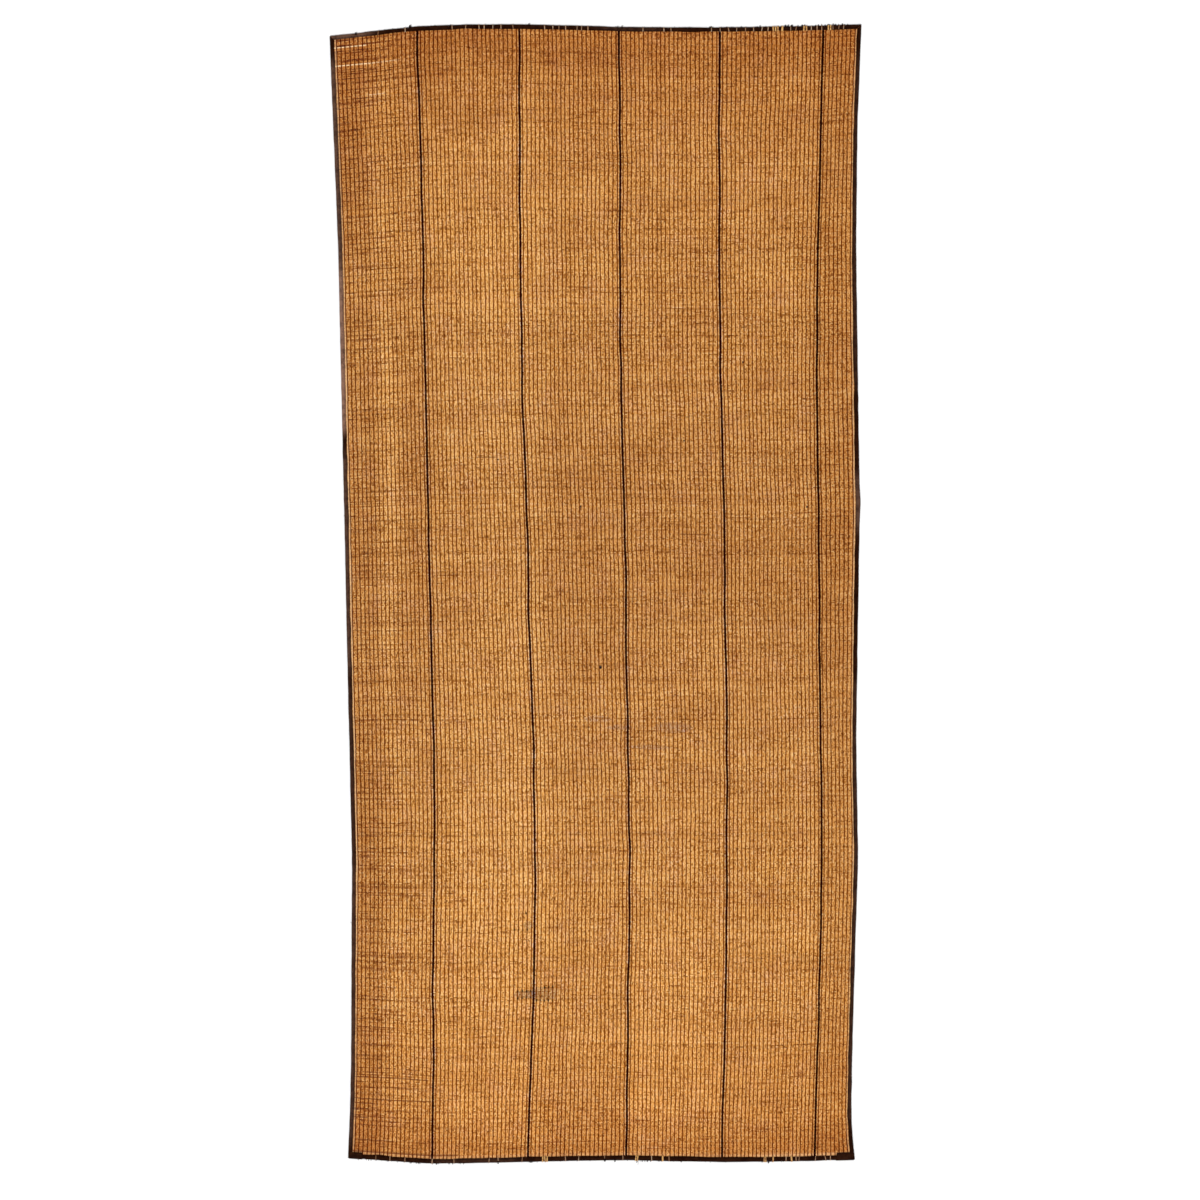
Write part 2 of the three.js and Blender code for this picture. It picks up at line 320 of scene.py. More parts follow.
def write_attribute(piece, name, *columns):
    """Keeps three values with each point, for the finish to read."""
    values = np.stack(np.broadcast_arrays(*columns), -1).astype(np.float32)
    attribute = piece.data.attributes.new(name, "FLOAT_VECTOR", "POINT")
    attribute.data.foreach_set("vector", values.ravel())


def finish_piece(piece, name, finish, slot, *nodes):
    """Names a piece, gives it its finish, and sets it on the frame."""
    piece.name = piece.data.name = name
    piece.data.materials.clear()
    piece.data.materials.append(finish)
    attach(piece, "root")
    if nodes:
        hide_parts(*nodes)
    return piece


# Finishes

class Finish:
    """A node material. Each method adds a node and gives the socket that comes out of it."""

    def __init__(self, name):
        self.material = bpy.data.materials.new(name)
        self.material.use_nodes = True
        self.tree = self.material.node_tree
        self.shader = self.tree.nodes["Principled BSDF"]

    def put(self, socket, value):
        if isinstance(value, bpy.types.NodeSocket):
            self.tree.links.new(value, socket)
        elif socket.type == "RGBA":
            socket.default_value = (*value, 1)
        else:
            socket.default_value = value

    def shade(self, **inputs):
        for name, value in inputs.items():
            self.put(self.shader.inputs[name.replace("_", " ")], value)

    def attribute(self, name):
        node = self.tree.nodes.new("ShaderNodeAttribute")
        node.attribute_name = name
        return node.outputs["Vector"]

    def object_place(self):
        return self.tree.nodes.new("ShaderNodeTexCoord").outputs["Object"]

    def split(self, vector):
        node = self.tree.nodes.new("ShaderNodeSeparateXYZ")
        self.put(node.inputs[0], vector)
        return tuple(node.outputs)

    def math(self, operation, *values, clamp=False):
        node = self.tree.nodes.new("ShaderNodeMath")
        node.operation = operation
        node.use_clamp = clamp
        for socket, value in zip(node.inputs, values):
            self.put(socket, value)
        return node.outputs[0]

    def joined(self, operation, values):
        """All the values taken together, such as their sum or the least of them."""
        return functools.reduce(lambda first, other: self.math(operation, first, other), values)

    def add(self, *values):
        return self.joined("ADD", values)

    def times(self, *values):
        return self.joined("MULTIPLY", values)

    def centred(self, value, amount):
        """Takes a value from 0..1 to as far above and below zero as the amount says."""
        return self.times(self.math("SUBTRACT", value, 0.5), amount)

    def noise(self, vector, waves, detail=2.0, roughness=0.6):
        """Noise with as many waves to the metre as the number says."""
        node = self.tree.nodes.new("ShaderNodeTexNoise")
        self.put(node.inputs["Vector"], vector)
        node.inputs["Scale"].default_value = waves
        node.inputs["Detail"].default_value = detail
        node.inputs["Roughness"].default_value = roughness
        return node.outputs["Fac"]

    def streaks(self, vector, waves, detail=2.0, roughness=0.6, shift=(0, 0, 0)):
        """Noise with a number of waves to the metre for each of the vector's directions."""
        node = self.tree.nodes.new("ShaderNodeMapping")
        self.put(node.inputs["Vector"], vector)
        node.inputs["Scale"].default_value = waves
        node.inputs["Location"].default_value = shift
        return self.noise(node.outputs[0], 1.0, detail, roughness)

    def span(self, value, low, high, out_low=0.0, out_high=1.0):
        """Takes a value from low..high smoothly to out_low..out_high, held at its ends."""
        node = self.tree.nodes.new("ShaderNodeMapRange")
        node.interpolation_type = "SMOOTHSTEP"
        for socket, item in zip(node.inputs, (value, low, high, out_low, out_high)):
            self.put(socket, item)
        return node.outputs[0]

    def window(self, value, low, high, soft):
        """1 where the value lies between low and high, fading over soft outside them."""
        rise = self.span(value, low - soft, low)
        fall = self.span(value, high, high + soft, 1.0, 0.0)
        return self.times(rise, fall)

    def blend(self, factor, first, second, mode="MIX"):
        node = self.tree.nodes.new("ShaderNodeMix")
        node.data_type = "RGBA"
        node.blend_type = mode
        self.put(node.inputs[0], factor)
        self.put(node.inputs[6], first)
        self.put(node.inputs[7], second)
        return node.outputs[2]

    def tint(self, colour, amount, factor):
        """Multiplies a colour by a factor, as far as the amount says."""
        return self.blend(amount, colour, self.blend(1.0, colour, factor, "MULTIPLY"))

    def ramp(self, value, *stops):
        """A colour for each value, given as (position, colour) stops."""
        node = self.tree.nodes.new("ShaderNodeValToRGB")
        items = node.color_ramp.elements
        for item, (position, colour) in zip(items, stops):
            item.position = position
            item.color = (*colour, 1)
        for position, colour in stops[2:]:
            items.new(position).color = (*colour, 1)
        self.put(node.inputs[0], value)
        return node.outputs[0]

    def profile(self, value, *stops):
        """A number for each value, given as (position, number) stops."""
        return self.ramp(value, *((position, (number,) * 3) for position, number in stops))

    def bump(self, height, distance, strength):
        node = self.tree.nodes.new("ShaderNodeBump")
        node.inputs["Strength"].default_value = strength
        node.inputs["Distance"].default_value = distance
        self.put(node.inputs["Height"], height)
        return node.outputs[0]


# Colours of the reeds by tone, and of places and single reeds that stand out
REED_TONES = (
    (0.0, (0.26, 0.085, 0.008)),
    (0.36, (0.63, 0.275, 0.051)),
    (0.56, (0.815, 0.408, 0.103)),
    (0.95, (0.935, 0.615, 0.256)),
)
REED_MIDDLE_TONE = 0.51
DARK_REED = (0.2, 0.06, 0.015)
PALE_REED = (0.95, 0.68, 0.38)
# Partly painted light, against the shade where the reeds slope into the bindings
PALE_LIT_TIP = (0.95, 0.64, 0.34)
PALE_LIT_LOWEST = (0.88, 0.52, 0.24)
SPOT = (0.02, 0.012, 0.01)

# What a colour is multiplied by
AGED_REED = (0.64, 0.49, 0.36)
AGED_THONG = (0.53, 0.31, 0.18)
GREYED_REED = (0.98, 0.98, 1.25)
STREAKED_REED = (0.58, 0.42, 0.28)
LEFT_DARK_REED = (0.35, 0.19, 0.12)
# A painted highlight, paler and bluer, on the reeds beside each dark line
PAINTED_HIGHLIGHT_BESIDE_DARK_LINE = (1.1, 1.18, 2.0)
MENDED = (0.64, 0.66, 0.84)
STAINED = (0.8, 0.86, 1.35)

# Places that a reed's finish depends on, in millimetres of the flat cut. The loose bands of dark
# reeds in the left panel are given as their middle along the mat.
DARK_BANDS = (252, 640, 931, 1934, 2676, 3127, 3417)
BAND_SOFT = 0.055

# Single reeds: how far along, from where to where across, and how strongly they show
DARK_REEDS = (
    (3538, 596, 893, 1), (2726, 1048, 1150, 0.5), (2247, 430, 488, 1), (2004, 1078, 1163, 1),
    (543, 532, 628, 0.6), (547, 664, 712, 0.5), (263, 27, 245, 0.8), (197, 20, 260, 1),
    (181, 18, 75, 0.9), (136, 14, 55, 0.9), (63, 24, 142, 1), (26, 10, 350, 1.1),
    (30, 10, 350, 0.6),
)
PALE_REEDS = (
    (3586, 6, 107, 1), (3529, 4, 130, 1.1), (3529, 130, 207, 0.6), (3426, 115, 161, 0.8),
    (2730, 1063, 1095, 0.5),
)
SINGLE_REED_HALF_WIDTH = 1.9

# Oval patches: their middle along and across, and their half size along and across
MENDS = ((534, 560, 15, 44), (534, 615, 26, 60), (754, 564, 16, 18))
STAINS = ((1412, 799, 12, 52), (1387, 871, 11, 46), (1388, 1040, 20, 70), (1325, 966, 8, 85))
SPOTS = (
    (1578, 812, 5.5, 5.5), (2554, 1283, 4.5, 4), (2464, 734, 3.5, 3), (2240, 498, 3.5, 2.5),
    (2090, 757, 4, 3), (2318, 1013, 3.5, 3), (2306, 1090, 3.5, 2.5), (2091, 1479, 4, 3),
)

# How dark use has made the mat, by place along it and by place across it, as shares of its size
AGE_ALONG = (
    (0, 0.85), (0.045, 0.38), (0.1, 0.27), (0.2, 0.24), (0.5, 0.69), (0.6, 0.69), (0.82, 0.45),
    (0.95, 0.66), (1, 1.0),
)
AGE_ACROSS = (
    (0, 0.85), (0.055, 0.8), (0.07, 0.5), (0.09, 0.34), (0.14, 0.47), (0.2, 0.3), (0.36, 0.2),
    (0.42, 0.43), (0.89, 0.43), (0.94, 0.62), (1, 0.7),
)

# Oval patches that use has darkened more or less than that, with how much more
AGE_PATCHES = (
    ((2150, 60, 900, 140), -0.28),
    ((3500, 430, 260, 190), 0.25),
    ((300, 1050, 520, 190), -0.2),
)

# The mat is a little redder at its ends and greyer in its middle
HUE_ALONG = (
    (0, (1, 0.91, 0.8)), (0.1, (1, 0.96, 0.91)), (0.25, (1, 1, 1)), (0.45, (1.03, 1.07, 1.15)),
    (0.6, (1.03, 1.07, 1.14)), (0.75, (1, 1.01, 1.02)), (0.88, (1, 0.99, 0.98)),
    (1, (0.98, 0.91, 0.84)),
)

# How strongly the dark reeds of the left panel show, by place along it
DARK_REED_SHARE = (
    (0, 1.0), (0.1, 0.85), (0.3, 0.6), (0.6, 0.5), (0.85, 0.65), (0.95, 0.9), (1, 1.0),
)


def line_distance(finish, across):
    """How far a place is from the nearest dark line."""
    return finish.joined("MINIMUM", (
        finish.math("ABSOLUTE", finish.math("SUBTRACT", across, float(line)))
        for line in LINE_ACROSS[1:-1]))


def oval(finish, across, along, place):
    """1 in an oval patch, fading to its edge."""
    middle_along, middle_across, half_along, half_across = (item * MM for item in place)
    sideways = finish.math("DIVIDE", finish.math("SUBTRACT", across, middle_across), half_across)
    endways = finish.math("DIVIDE", finish.math("SUBTRACT", along, middle_along), half_along)
    reach = finish.add(finish.times(sideways, sideways), finish.times(endways, endways))
    return finish.span(reach, 0.5, 1.0, 1.0, 0.0)


def age(finish, cut, across, along):
    """How far use has darkened the mat, from 0 where it is palest to 1."""
    lengthwise = finish.profile(finish.math("DIVIDE", along, LENGTH), *AGE_ALONG)
    crosswise = finish.profile(finish.math("DIVIDE", across, WIDTH), *AGE_ACROSS)
    patches = finish.streaks(cut, (3, 9, 0), 3.0)
    worn = finish.add(lengthwise, finish.centred(crosswise, 1.0))
    for place, amount in AGE_PATCHES:
        worn = finish.add(worn, finish.times(oval(finish, across, along, place), amount))
    return finish.math("ADD", worn, finish.centred(patches, 0.9), clamp=True)


def aged(finish, colour, cut, factor):
    """A colour of the weave, darkened by the factor where use has worn the mat most."""
    across, along, _ = finish.split(cut)
    hue = finish.ramp(finish.math("DIVIDE", along, LENGTH), *HUE_ALONG)
    darkened = finish.tint(colour, age(finish, cut, across, along), factor)
    return finish.blend(1.0, darkened, hue, "MULTIPLY")


def darken_left_reeds(finish, colour, cut, across, along, tone):
    """Thin dark reeds across the left panel, most of them in loose bands."""
    left = finish.span(across, LINE_ACROSS[1] * 0.3, LINE_ACROSS[1] * 1.3, 1.0, 0.1)
    band = finish.joined("MAXIMUM", (
        finish.window(along, middle * MM, middle * MM, BAND_SOFT) for middle in DARK_BANDS))
    near_end = finish.profile(finish.math("DIVIDE", along, LENGTH), *DARK_REED_SHARE)
    held = finish.streaks(cut, (34, 900, 0), roughness=0.5, shift=(5, 3, 2))
    held = finish.span(held, 0.4, 0.6, 0.1, 1.0)
    chosen = finish.math("SUBTRACT", tone, finish.times(band, 0.12))
    chosen = finish.span(chosen, 0.24, 0.42, 1.0, 0.0)
    return finish.tint(colour, finish.times(chosen, left, held, near_end), LEFT_DARK_REED)


def pale_lit_reed_ends(finish, colour, across, along):
    """Paler reed where it comes out of the side bindings, and at the bottom end: partly paler reed,
    partly painted light that makes up for the shade where the reeds slope down into the binding.
    """
    left = finish.window(across, 15 * MM, 18.5 * MM, 1.5 * MM)
    right = finish.window(across, WIDTH - 17.5 * MM, WIDTH - 14 * MM, 1.5 * MM)
    middle_part = finish.window(along, 950 * MM, 2500 * MM, 400 * MM)
    strength = finish.add(0.32, finish.times(middle_part, 0.2))
    # Painted light in part, where the reeds slope down into the binding
    lit_ends = finish.times(finish.add(left, finish.times(right, 0.75)), strength)
    colour = finish.blend(lit_ends, colour, PALE_LIT_TIP)
    lit_lowest_reeds = finish.times(
        finish.span(along, 22 * MM, 27 * MM, 1.0, 0.0),
        finish.span(across, 1300 * MM, 1350 * MM, 0.3, 0.6))
    return finish.blend(lit_lowest_reeds, colour, PALE_LIT_LOWEST)


def single_reeds(finish, colour, across, along, streak):
    """Single reeds that are much darker or paler over part of their length."""
    for reeds, colour_there in ((DARK_REEDS, DARK_REED), (PALE_REEDS, PALE_REED)):
        for middle, start, end, strength in reeds:
            low, high = middle - SINGLE_REED_HALF_WIDTH, middle + SINGLE_REED_HALF_WIDTH
            row = finish.window(along, low * MM, high * MM, 0.3 * MM)
            run = finish.window(across, start * MM, end * MM, 8 * MM)
            part = finish.times(row, run, finish.span(streak, 0.3, 0.55, 0.35, 0.9), strength)
            colour = finish.blend(part, colour, colour_there)
    return colour


def grey_and_spot(finish, colour, cut, across, along, greying, streak):
    """A painted highlight, paler and bluer, on the reeds beside the dark lines; greyer reeds in the
    mends and in a few faint stains; and spots.
    """
    # Painted highlight on the reeds just beside each dark line
    highlight_beside_line = finish.window(line_distance(finish, across), 2 * MM, 4.5 * MM, 1.0 * MM)
    broken = finish.span(finish.streaks(cut, (60, 12, 0), roughness=0.5), 0.4, 0.6, 0.3, 1.0)
    colour = finish.tint(colour, finish.times(highlight_beside_line, broken, greying), PAINTED_HIGHLIGHT_BESIDE_DARK_LINE)
    for places, low, high, factor in ((MENDS, 1.0, 0.6, MENDED), (STAINS, 0.3, 0.9, STAINED)):
        for place in places:
            patch = finish.times(
                oval(finish, across, along, place), finish.span(streak, 0.3, 0.6, low, high))
            colour = finish.tint(colour, patch, factor)
    for place in SPOTS:
        colour = finish.blend(oval(finish, across, along, place), colour, SPOT)
    return colour


def reed_finish():
    """Dry split reeds: honey brown, each its own tone, streaked along its length."""
    finish = Finish("dry split reed")
    cut = finish.attribute("cut")
    across, along, tone = finish.split(cut)
    fibre = finish.streaks(finish.object_place(), (45, 1500, 1500), 3.0)

    # How the tone varies along a reed, and from one part of the weave to the next
    long_streak = finish.streaks(cut, (30, 1900, 0))
    short_streak = finish.streaks(cut, (230, 2300, 0))
    weave_patch = finish.streaks(cut, (80, 95, 0))
    lane = finish.streaks(cut, (24, 1.5, 0))
    shade = finish.add(
        REED_MIDDLE_TONE, finish.centred(long_streak, 0.5), finish.centred(short_streak, 3.2),
        finish.centred(weave_patch, 0.16), finish.centred(lane, 0.3), finish.centred(fibre, 0.5),
        finish.centred(tone, 0.24))
    colour = aged(finish, finish.ramp(shade, *REED_TONES), cut, AGED_REED)

    # Greyer in patches, and less so in the right panel
    greying = finish.span(across, LINE_ACROSS[5] - 30 * MM, LINE_ACROSS[5], 1.0, 0.35)
    grey_patch = finish.streaks(cut, (14, 11, 0), 3.0, 0.7, (7, 2, 5))
    grey_patch = finish.times(finish.span(grey_patch, 0.45, 0.75), greying)
    colour = finish.tint(colour, grey_patch, GREYED_REED)

    # Here and there a reed is darker for the width of a hand
    streak = finish.streaks(cut, (10, 1700, 0), 1.0, 0.5, (3, 1, 0))
    colour = finish.tint(colour, finish.span(streak, 0.29, 0.36, 0.75, 0.0), STREAKED_REED)

    colour = darken_left_reeds(finish, colour, cut, across, along, tone)
    colour = pale_lit_reed_ends(finish, colour, across, along)
    colour = single_reeds(finish, colour, across, along, short_streak)
    colour = grey_and_spot(finish, colour, cut, across, along, greying, long_streak)
    finish.shade(
        Base_Color=colour,
        Specular_IOR_Level=0.15,
        Roughness=finish.span(fibre, 0.3, 0.7, 0.5, 0.72),
        Normal=finish.bump(fibre, 0.25 * MM, 0.7),
    )
    return finish.material


def thong_finish(name, deep, paler_colour, roughness, gloss):
    """Narrow leather thong, worn paler in patches that differ from run to run."""
    finish = Finish(name)
    cut = finish.attribute("cut")
    tone = finish.split(cut)[2]
    grain = finish.noise(finish.object_place(), 900.0, 3.0)
    paler_share = finish.times(finish.span(finish.streaks(cut, (75, 130, 0), 3.0, 0.7), 0.4, 0.75), tone)
    paler_share = finish.math("ADD", paler_share, finish.centred(grain, 0.5), clamp=True)
    finish.shade(
        Base_Color=aged(finish, finish.blend(paler_share, deep, paler_colour), cut, AGED_THONG),
        Specular_IOR_Level=gloss,
        Roughness=finish.span(grain, 0.3, 0.7, roughness - 0.08, roughness + 0.1),
        Normal=finish.bump(grain, 0.15 * MM, 0.6),
    )
    return finish.material


def binding_finish(name, deep, plain, paler_colour):
    """Dark leather, creased and grained, greyer on its fold: partly worn grey with use, partly a
    painted sheen.
    """
    finish = Finish(name)
    wear_and_sheen = finish.split(finish.attribute("strip"))[2]
    place = finish.object_place()
    grain = finish.noise(place, 700.0, 4.0)
    scuff = finish.streaks(place, (60, 60, 60), 4.0, 0.65)
    crease = finish.streaks(place, (160, 160, 160), roughness=0.5)
    colour = finish.blend(finish.span(scuff, 0.35, 0.7), deep, plain)
    # The grey is partly worn leather and partly a painted sheen along the fold
    paler_share = finish.math("MULTIPLY", wear_and_sheen, finish.span(scuff, 0.3, 0.6, 0.45, 1.0), clamp=True)
    finish.shade(
        Base_Color=finish.blend(paler_share, colour, paler_colour),
        Specular_IOR_Level=0.01,
        Roughness=finish.span(scuff, 0.3, 0.7, 0.42, 0.62),
        Normal=finish.bump(finish.add(finish.times(grain, 0.35), crease), 0.4 * MM, 0.7),
    )
    return finish.material


def rawhide_finish(name, pale, shadow):
    """Untanned hide strip: pale, with darker fibres, dirty spots and painted shade along its edges.
    """
    finish = Finish(name)
    _, side, tone = finish.split(finish.attribute("strip"))
    place = finish.object_place()
    fibre = finish.streaks(place, (900, 160, 900), 3.0)
    spots = finish.noise(place, 190.0)
    # Painted shade along the edges, with darker fibres, dirty spots and each strip's own tone
    grub_and_shade = finish.add(
        finish.span(side, 0.55, 1.0, 0.0, 0.5), finish.span(fibre, 0.4, 0.75, 0.0, 0.5),
        finish.span(spots, 0.5, 0.62, 0.0, 0.7))
    grub_and_shade = finish.math("ADD", grub_and_shade, finish.times(tone, 0.6), clamp=True)
    finish.shade(
        Base_Color=finish.blend(grub_and_shade, pale, shadow),
        Roughness=finish.span(fibre, 0.3, 0.7, 0.55, 0.75),
        Normal=finish.bump(fibre, 0.2 * MM, 0.7),
    )
    return finish.material


# Reeds

# The rod that all reeds are copied from, one unit apart, before each gets its place and size
ROD_RADIUS = 0.4
REED_UNEVEN = 0.05 * MM

# Every fourth reed is darker than the others
DARKER_EVERY = 4
DARKER_TONE, USUAL_TONE, TONE_SPREAD = 0.32, 0.58, 0.2


def make_reed():
    """One reed in the flat cut: a six-sided rod across the mat, with a ring at each station."""
    deselect_all()
    first, last = STATIONS[1], STATIONS[-2]
    bpy.ops.mesh.primitive_cylinder_add(
        vertices=6, radius=ROD_RADIUS, depth=last - first, location=((first + last) / 2, 0, 0),
        rotation=(0, math.pi / 2, 0))
    reed = new_piece()
    cut_rings(reed, STATIONS[2:-2], axis=0)
    bpy.ops.object.shade_smooth()
    return reed


def reed_spacing():
    """Middle and half width of each reed along the mat, uneven as split reeds are."""
    widths = uneven(REED_COUNT, *REED_WIDTHS)
    widths *= (LENGTH - 2 * REED_END) / widths.sum()
    return REED_END + np.cumsum(widths) - widths / 2, widths / 2


REED_ALONG, REED_HALF_WIDTH = reed_spacing()
REED_HEIGHT = REED_HALF_HEIGHT * uneven(REED_COUNT, *REED_HEIGHTS)


def make_reeds():
    """All the reeds, laid side by side along the mat."""
    reeds = make_reed()
    repeat(reeds, REED_COUNT, (0, 1, 0))
    points = read_points(reeds)
    number = np.rint(points[:, 1]).astype(int)
    across = points[:, 0]
    side = (points[:, 1] - number) / ROD_RADIUS
    rise = points[:, 2] / (ROD_RADIUS * math.sin(math.pi / 3))
    middle = REED_ALONG[number] + rng.normal(0, REED_UNEVEN, len(number))
    along = middle + side * REED_HALF_WIDTH[number]
    height = squash(REED_MIDDLE + rise * REED_HEIGHT[number], across, along)
    write_points(reeds, *lay(across, along), height)

    tone = np.where(np.arange(REED_COUNT) % DARKER_EVERY == 0, DARKER_TONE, USUAL_TONE)
    tone = uneven(REED_COUNT, tone, TONE_SPREAD, 0, 1)
    write_attribute(reeds, "cut", across, REED_ALONG[number], tone[number])
    return reeds


# Thongs

def make_thong(rings):
    """One thong, a ring each unit of its length: a three-sided strip, flat side up."""
    deselect_all()
    bpy.ops.mesh.primitive_circle_add(
        vertices=3, radius=0.2, fill_type="NOTHING", rotation=(-math.pi / 2, 0, 0))
    thong = new_piece()
    edit(thong)
    bpy.ops.mesh.extrude_region_move(TRANSFORM_OT_translate={"value": (0, 1, 0)})
    leave_edit()
    repeat(thong, rings - 1, (0, 1, 0), merge=True)
    edit(thong)
    bpy.ops.mesh.fill_holes(sides=3)
    leave_edit()
    face_outwards(thong)
    bpy.ops.object.shade_smooth()
    return thong


def run_starts(rows, run):
    """The first reed of each run in each row, a little uneven, and the count of reeds last."""
    starts = np.linspace(0, REED_COUNT, round(REED_COUNT / run) + 1)
    starts = starts + rng.uniform(-ROW_SHIFT, ROW_SHIFT, (rows, 1)) * run
    starts = starts + rng.uniform(-RUN_SHIFT, RUN_SHIFT, starts.shape) * run
    starts[:, 0], starts[:, -1] = 0, REED_COUNT
    return np.rint(starts).astype(int)


def weave(across_rows, width, thickness, run, drift_reach):
    """Rows of thongs in pairs. In each row the two are above and below the reeds, and change places
    after every run. A thong's rings come in pairs too, one at each end of a run."""
    starts = run_starts(len(across_rows), run)
    runs = starts.shape[1] - 1
    piece = make_thong(2 * runs)
    repeat(piece, 2 * len(across_rows), (1, 0, 0))
    points = read_points(piece)
    thong = np.rint(points[:, 0]).astype(int)
    ring = np.rint(points[:, 1]).astype(int)
    side = np.sign(np.round(points[:, 0] - thong, 3))
    row, place = thong // 2, ring // 2
    leaving = ring % 2
    above = (place + thong) % 2 == 0
    reed = np.where(leaving, starts[row, place + 1] - 1, starts[row, place])

    drift = np.array([wander(REED_ALONG, drift_reach, DRIFT_WAVE) for _ in across_rows])
    spread = uneven((len(across_rows) * 2, 2 * runs), *THONG_WIDTHS)
    aside = np.where(leaving == above, PAIR_APART, -PAIR_APART)
    aside = aside + side * 0.5 * spread[thong, ring]
    across = np.asarray(across_rows)[row] + drift[row, reed] + aside * width
    along = REED_ALONG[reed] + np.where(leaving, TURN_REACH, -TURN_REACH)
    reach = REED_HEIGHT[reed] - TURN_SINK
    lower_face = REED_MIDDLE + np.where(above, reach, -reach - thickness)
    height = lower_face + np.where(side == 0, 0, thickness)
    write_points(piece, *lay(across, along), squash(np.maximum(height, 0), across, along))
    tone = rng.uniform(*THONG_TONES, (len(across_rows), runs))
    write_attribute(piece, "cut", across, along, tone[row, place])
    return piece


def row_places(panel):
    """Where the brown thong rows of a panel are across the mat, evenly spaced."""
    rows, first, last = PANELS[panel]
    return np.linspace(LINE_ACROSS[panel] + first, LINE_ACROSS[panel + 1] - last, rows)


def make_brown_thongs(panel):
    """The brown thong rows of one panel."""
    across_rows = row_places(panel)
    across_rows += rng.normal(0, ROW_UNEVEN, len(across_rows))
    return weave(across_rows, **BROWN_ROW)


def make_dark_line(line):
    """One row of wider black thongs, between two panels."""
    return weave([LINE_ACROSS[line]], **DARK_ROW)


# Bindings

# Where each binding is greyed, partly worn and partly a painted sheen: from where to where along it
# in millimetres, and how much
WORN_AND_SHEEN_RUNS = {
    "left": (
        (80, 900, 0.2), (950, 1500, 0.1), (1600, 2250, 0.25), (2380, 2850, 1.0),
        (2920, 3520, 0.35)),
    "right": ((150, 1500, 0.1), (2044, 2160, 0.35), (2500, 3500, 0.07)),
    "top": ((15, 95, 0.4), (860, 1000, 0.08)),
    "bottom": ((300, 520, 0.08),),
}
WORN_AND_SHEEN_FADE = 60

# The fold is a little greyer all along, partly worn and partly a painted sheen on its crest, most
# at
# FOLD_SHEEN_AT of the way round from the lower edge. The greyed runs come in between two points of
# the path, TOP_TURNS, and show less at the inner edge.
FOLD_WEAR_AND_SHEEN, FOLD_SHEEN_AT, FOLD_SHEEN_REACH = 0.03, 0.62, 2.2
TOP_TURNS = (4, 9)
INNER_EDGE, INNER_EDGE_LESS = (8 * MM, 13 * MM), 0.35

# One place where a binding stands out: its side, middle, half length and reach
BULGE_SIDE, BULGE_MIDDLE, BULGE_HALF, BULGE_REACH = "right", 2100 * MM, 45 * MM, 2.5 * MM

# How far a binding wanders and in what waves, at its inner edge, at its outer edge and in height.
# It lies straight near the corners and eases into its wander over CORNER_EASE from them. The inner
# edge's wander takes over past INNER_FROM.
BINDING_STEP = 12 * MM
INNER_WANDER = (0.7 * MM, 45 * MM)
OUTER_WANDER = (0.3 * MM, 30 * MM)
PUCKER = (0.12 * MM, 18 * MM)
CORNER_EASE = (10 * MM, 40 * MM)
INNER_FROM = 4 * MM

ENDS_OF = {
    "left": ("bottom", "top"), "right": ("bottom", "top"),
    "top": ("left", "right"), "bottom": ("left", "right"),
}


def side_length(side):
    return LENGTH if side in ("left", "right") else WIDTH


def cut_place(side, run, inset):
    """Across and along of a spot that is `run` along a side of the mat and `inset` in from it."""
    depth = {"left": inset, "bottom": inset, "right": WIDTH - inset, "top": LENGTH - inset}[side]
    return (depth, run) if side in ("left", "right") else (run, depth)


def make_grid(long_cells, cross_cells):
    """A flat grid of faces, 0 to 1 both ways."""
    deselect_all()
    bpy.ops.mesh.primitive_grid_add(
        x_subdivisions=long_cells, y_subdivisions=cross_cells, size=1, location=(0.5, 0.5, 0))
    return new_piece()


def follow(path, turn):
    """Inset and height on a path of (inset, height) points, at places numbered as its points."""
    numbers = np.arange(len(path))
    return np.interp(turn, numbers, path[:, 0]), np.interp(turn, numbers, path[:, 1])


def fold_path(width):
    """Middle of the folded leather in section: in from under the rim, round the fold and back."""
    radius = (BINDING_TOP - LEATHER) / 2
    centre = LEATHER / 2 + radius
    leg = np.linspace(width, centre, 5)[:-1]
    turn = np.linspace(0, math.pi, 8)
    inset = np.concatenate((leg, centre - radius * np.sin(turn), leg[::-1]))
    height = np.concatenate((
        np.full(len(leg), LEATHER / 2), BINDING_TOP / 2 - radius * np.cos(turn),
        np.full(len(leg), BINDING_TOP - LEATHER / 2)))
    return np.stack((inset, height), -1)


def binding_wear_and_sheen(side, run, inset, turn, turns):
    """How far each spot of a binding is greyed, by use and by a painted sheen."""
    # Painted sheen and worn grey: a faint band along the fold's crest, and stronger runs on top
    wear_and_sheen = FOLD_WEAR_AND_SHEEN * np.exp(-((turn - turns * FOLD_SHEEN_AT) / FOLD_SHEEN_REACH) ** 2)
    on_top = smooth_step(turn, *TOP_TURNS)
    on_top = on_top * (1 - INNER_EDGE_LESS * smooth_step(inset, *INNER_EDGE))
    for low, high, amount in WORN_AND_SHEEN_RUNS[side]:
        rise = smooth_step(run, (low - WORN_AND_SHEEN_FADE) * MM, low * MM)
        fall = 1 - smooth_step(run, high * MM, (high + WORN_AND_SHEEN_FADE) * MM)
        wear_and_sheen = wear_and_sheen + amount * rise * fall * on_top
    return wear_and_sheen


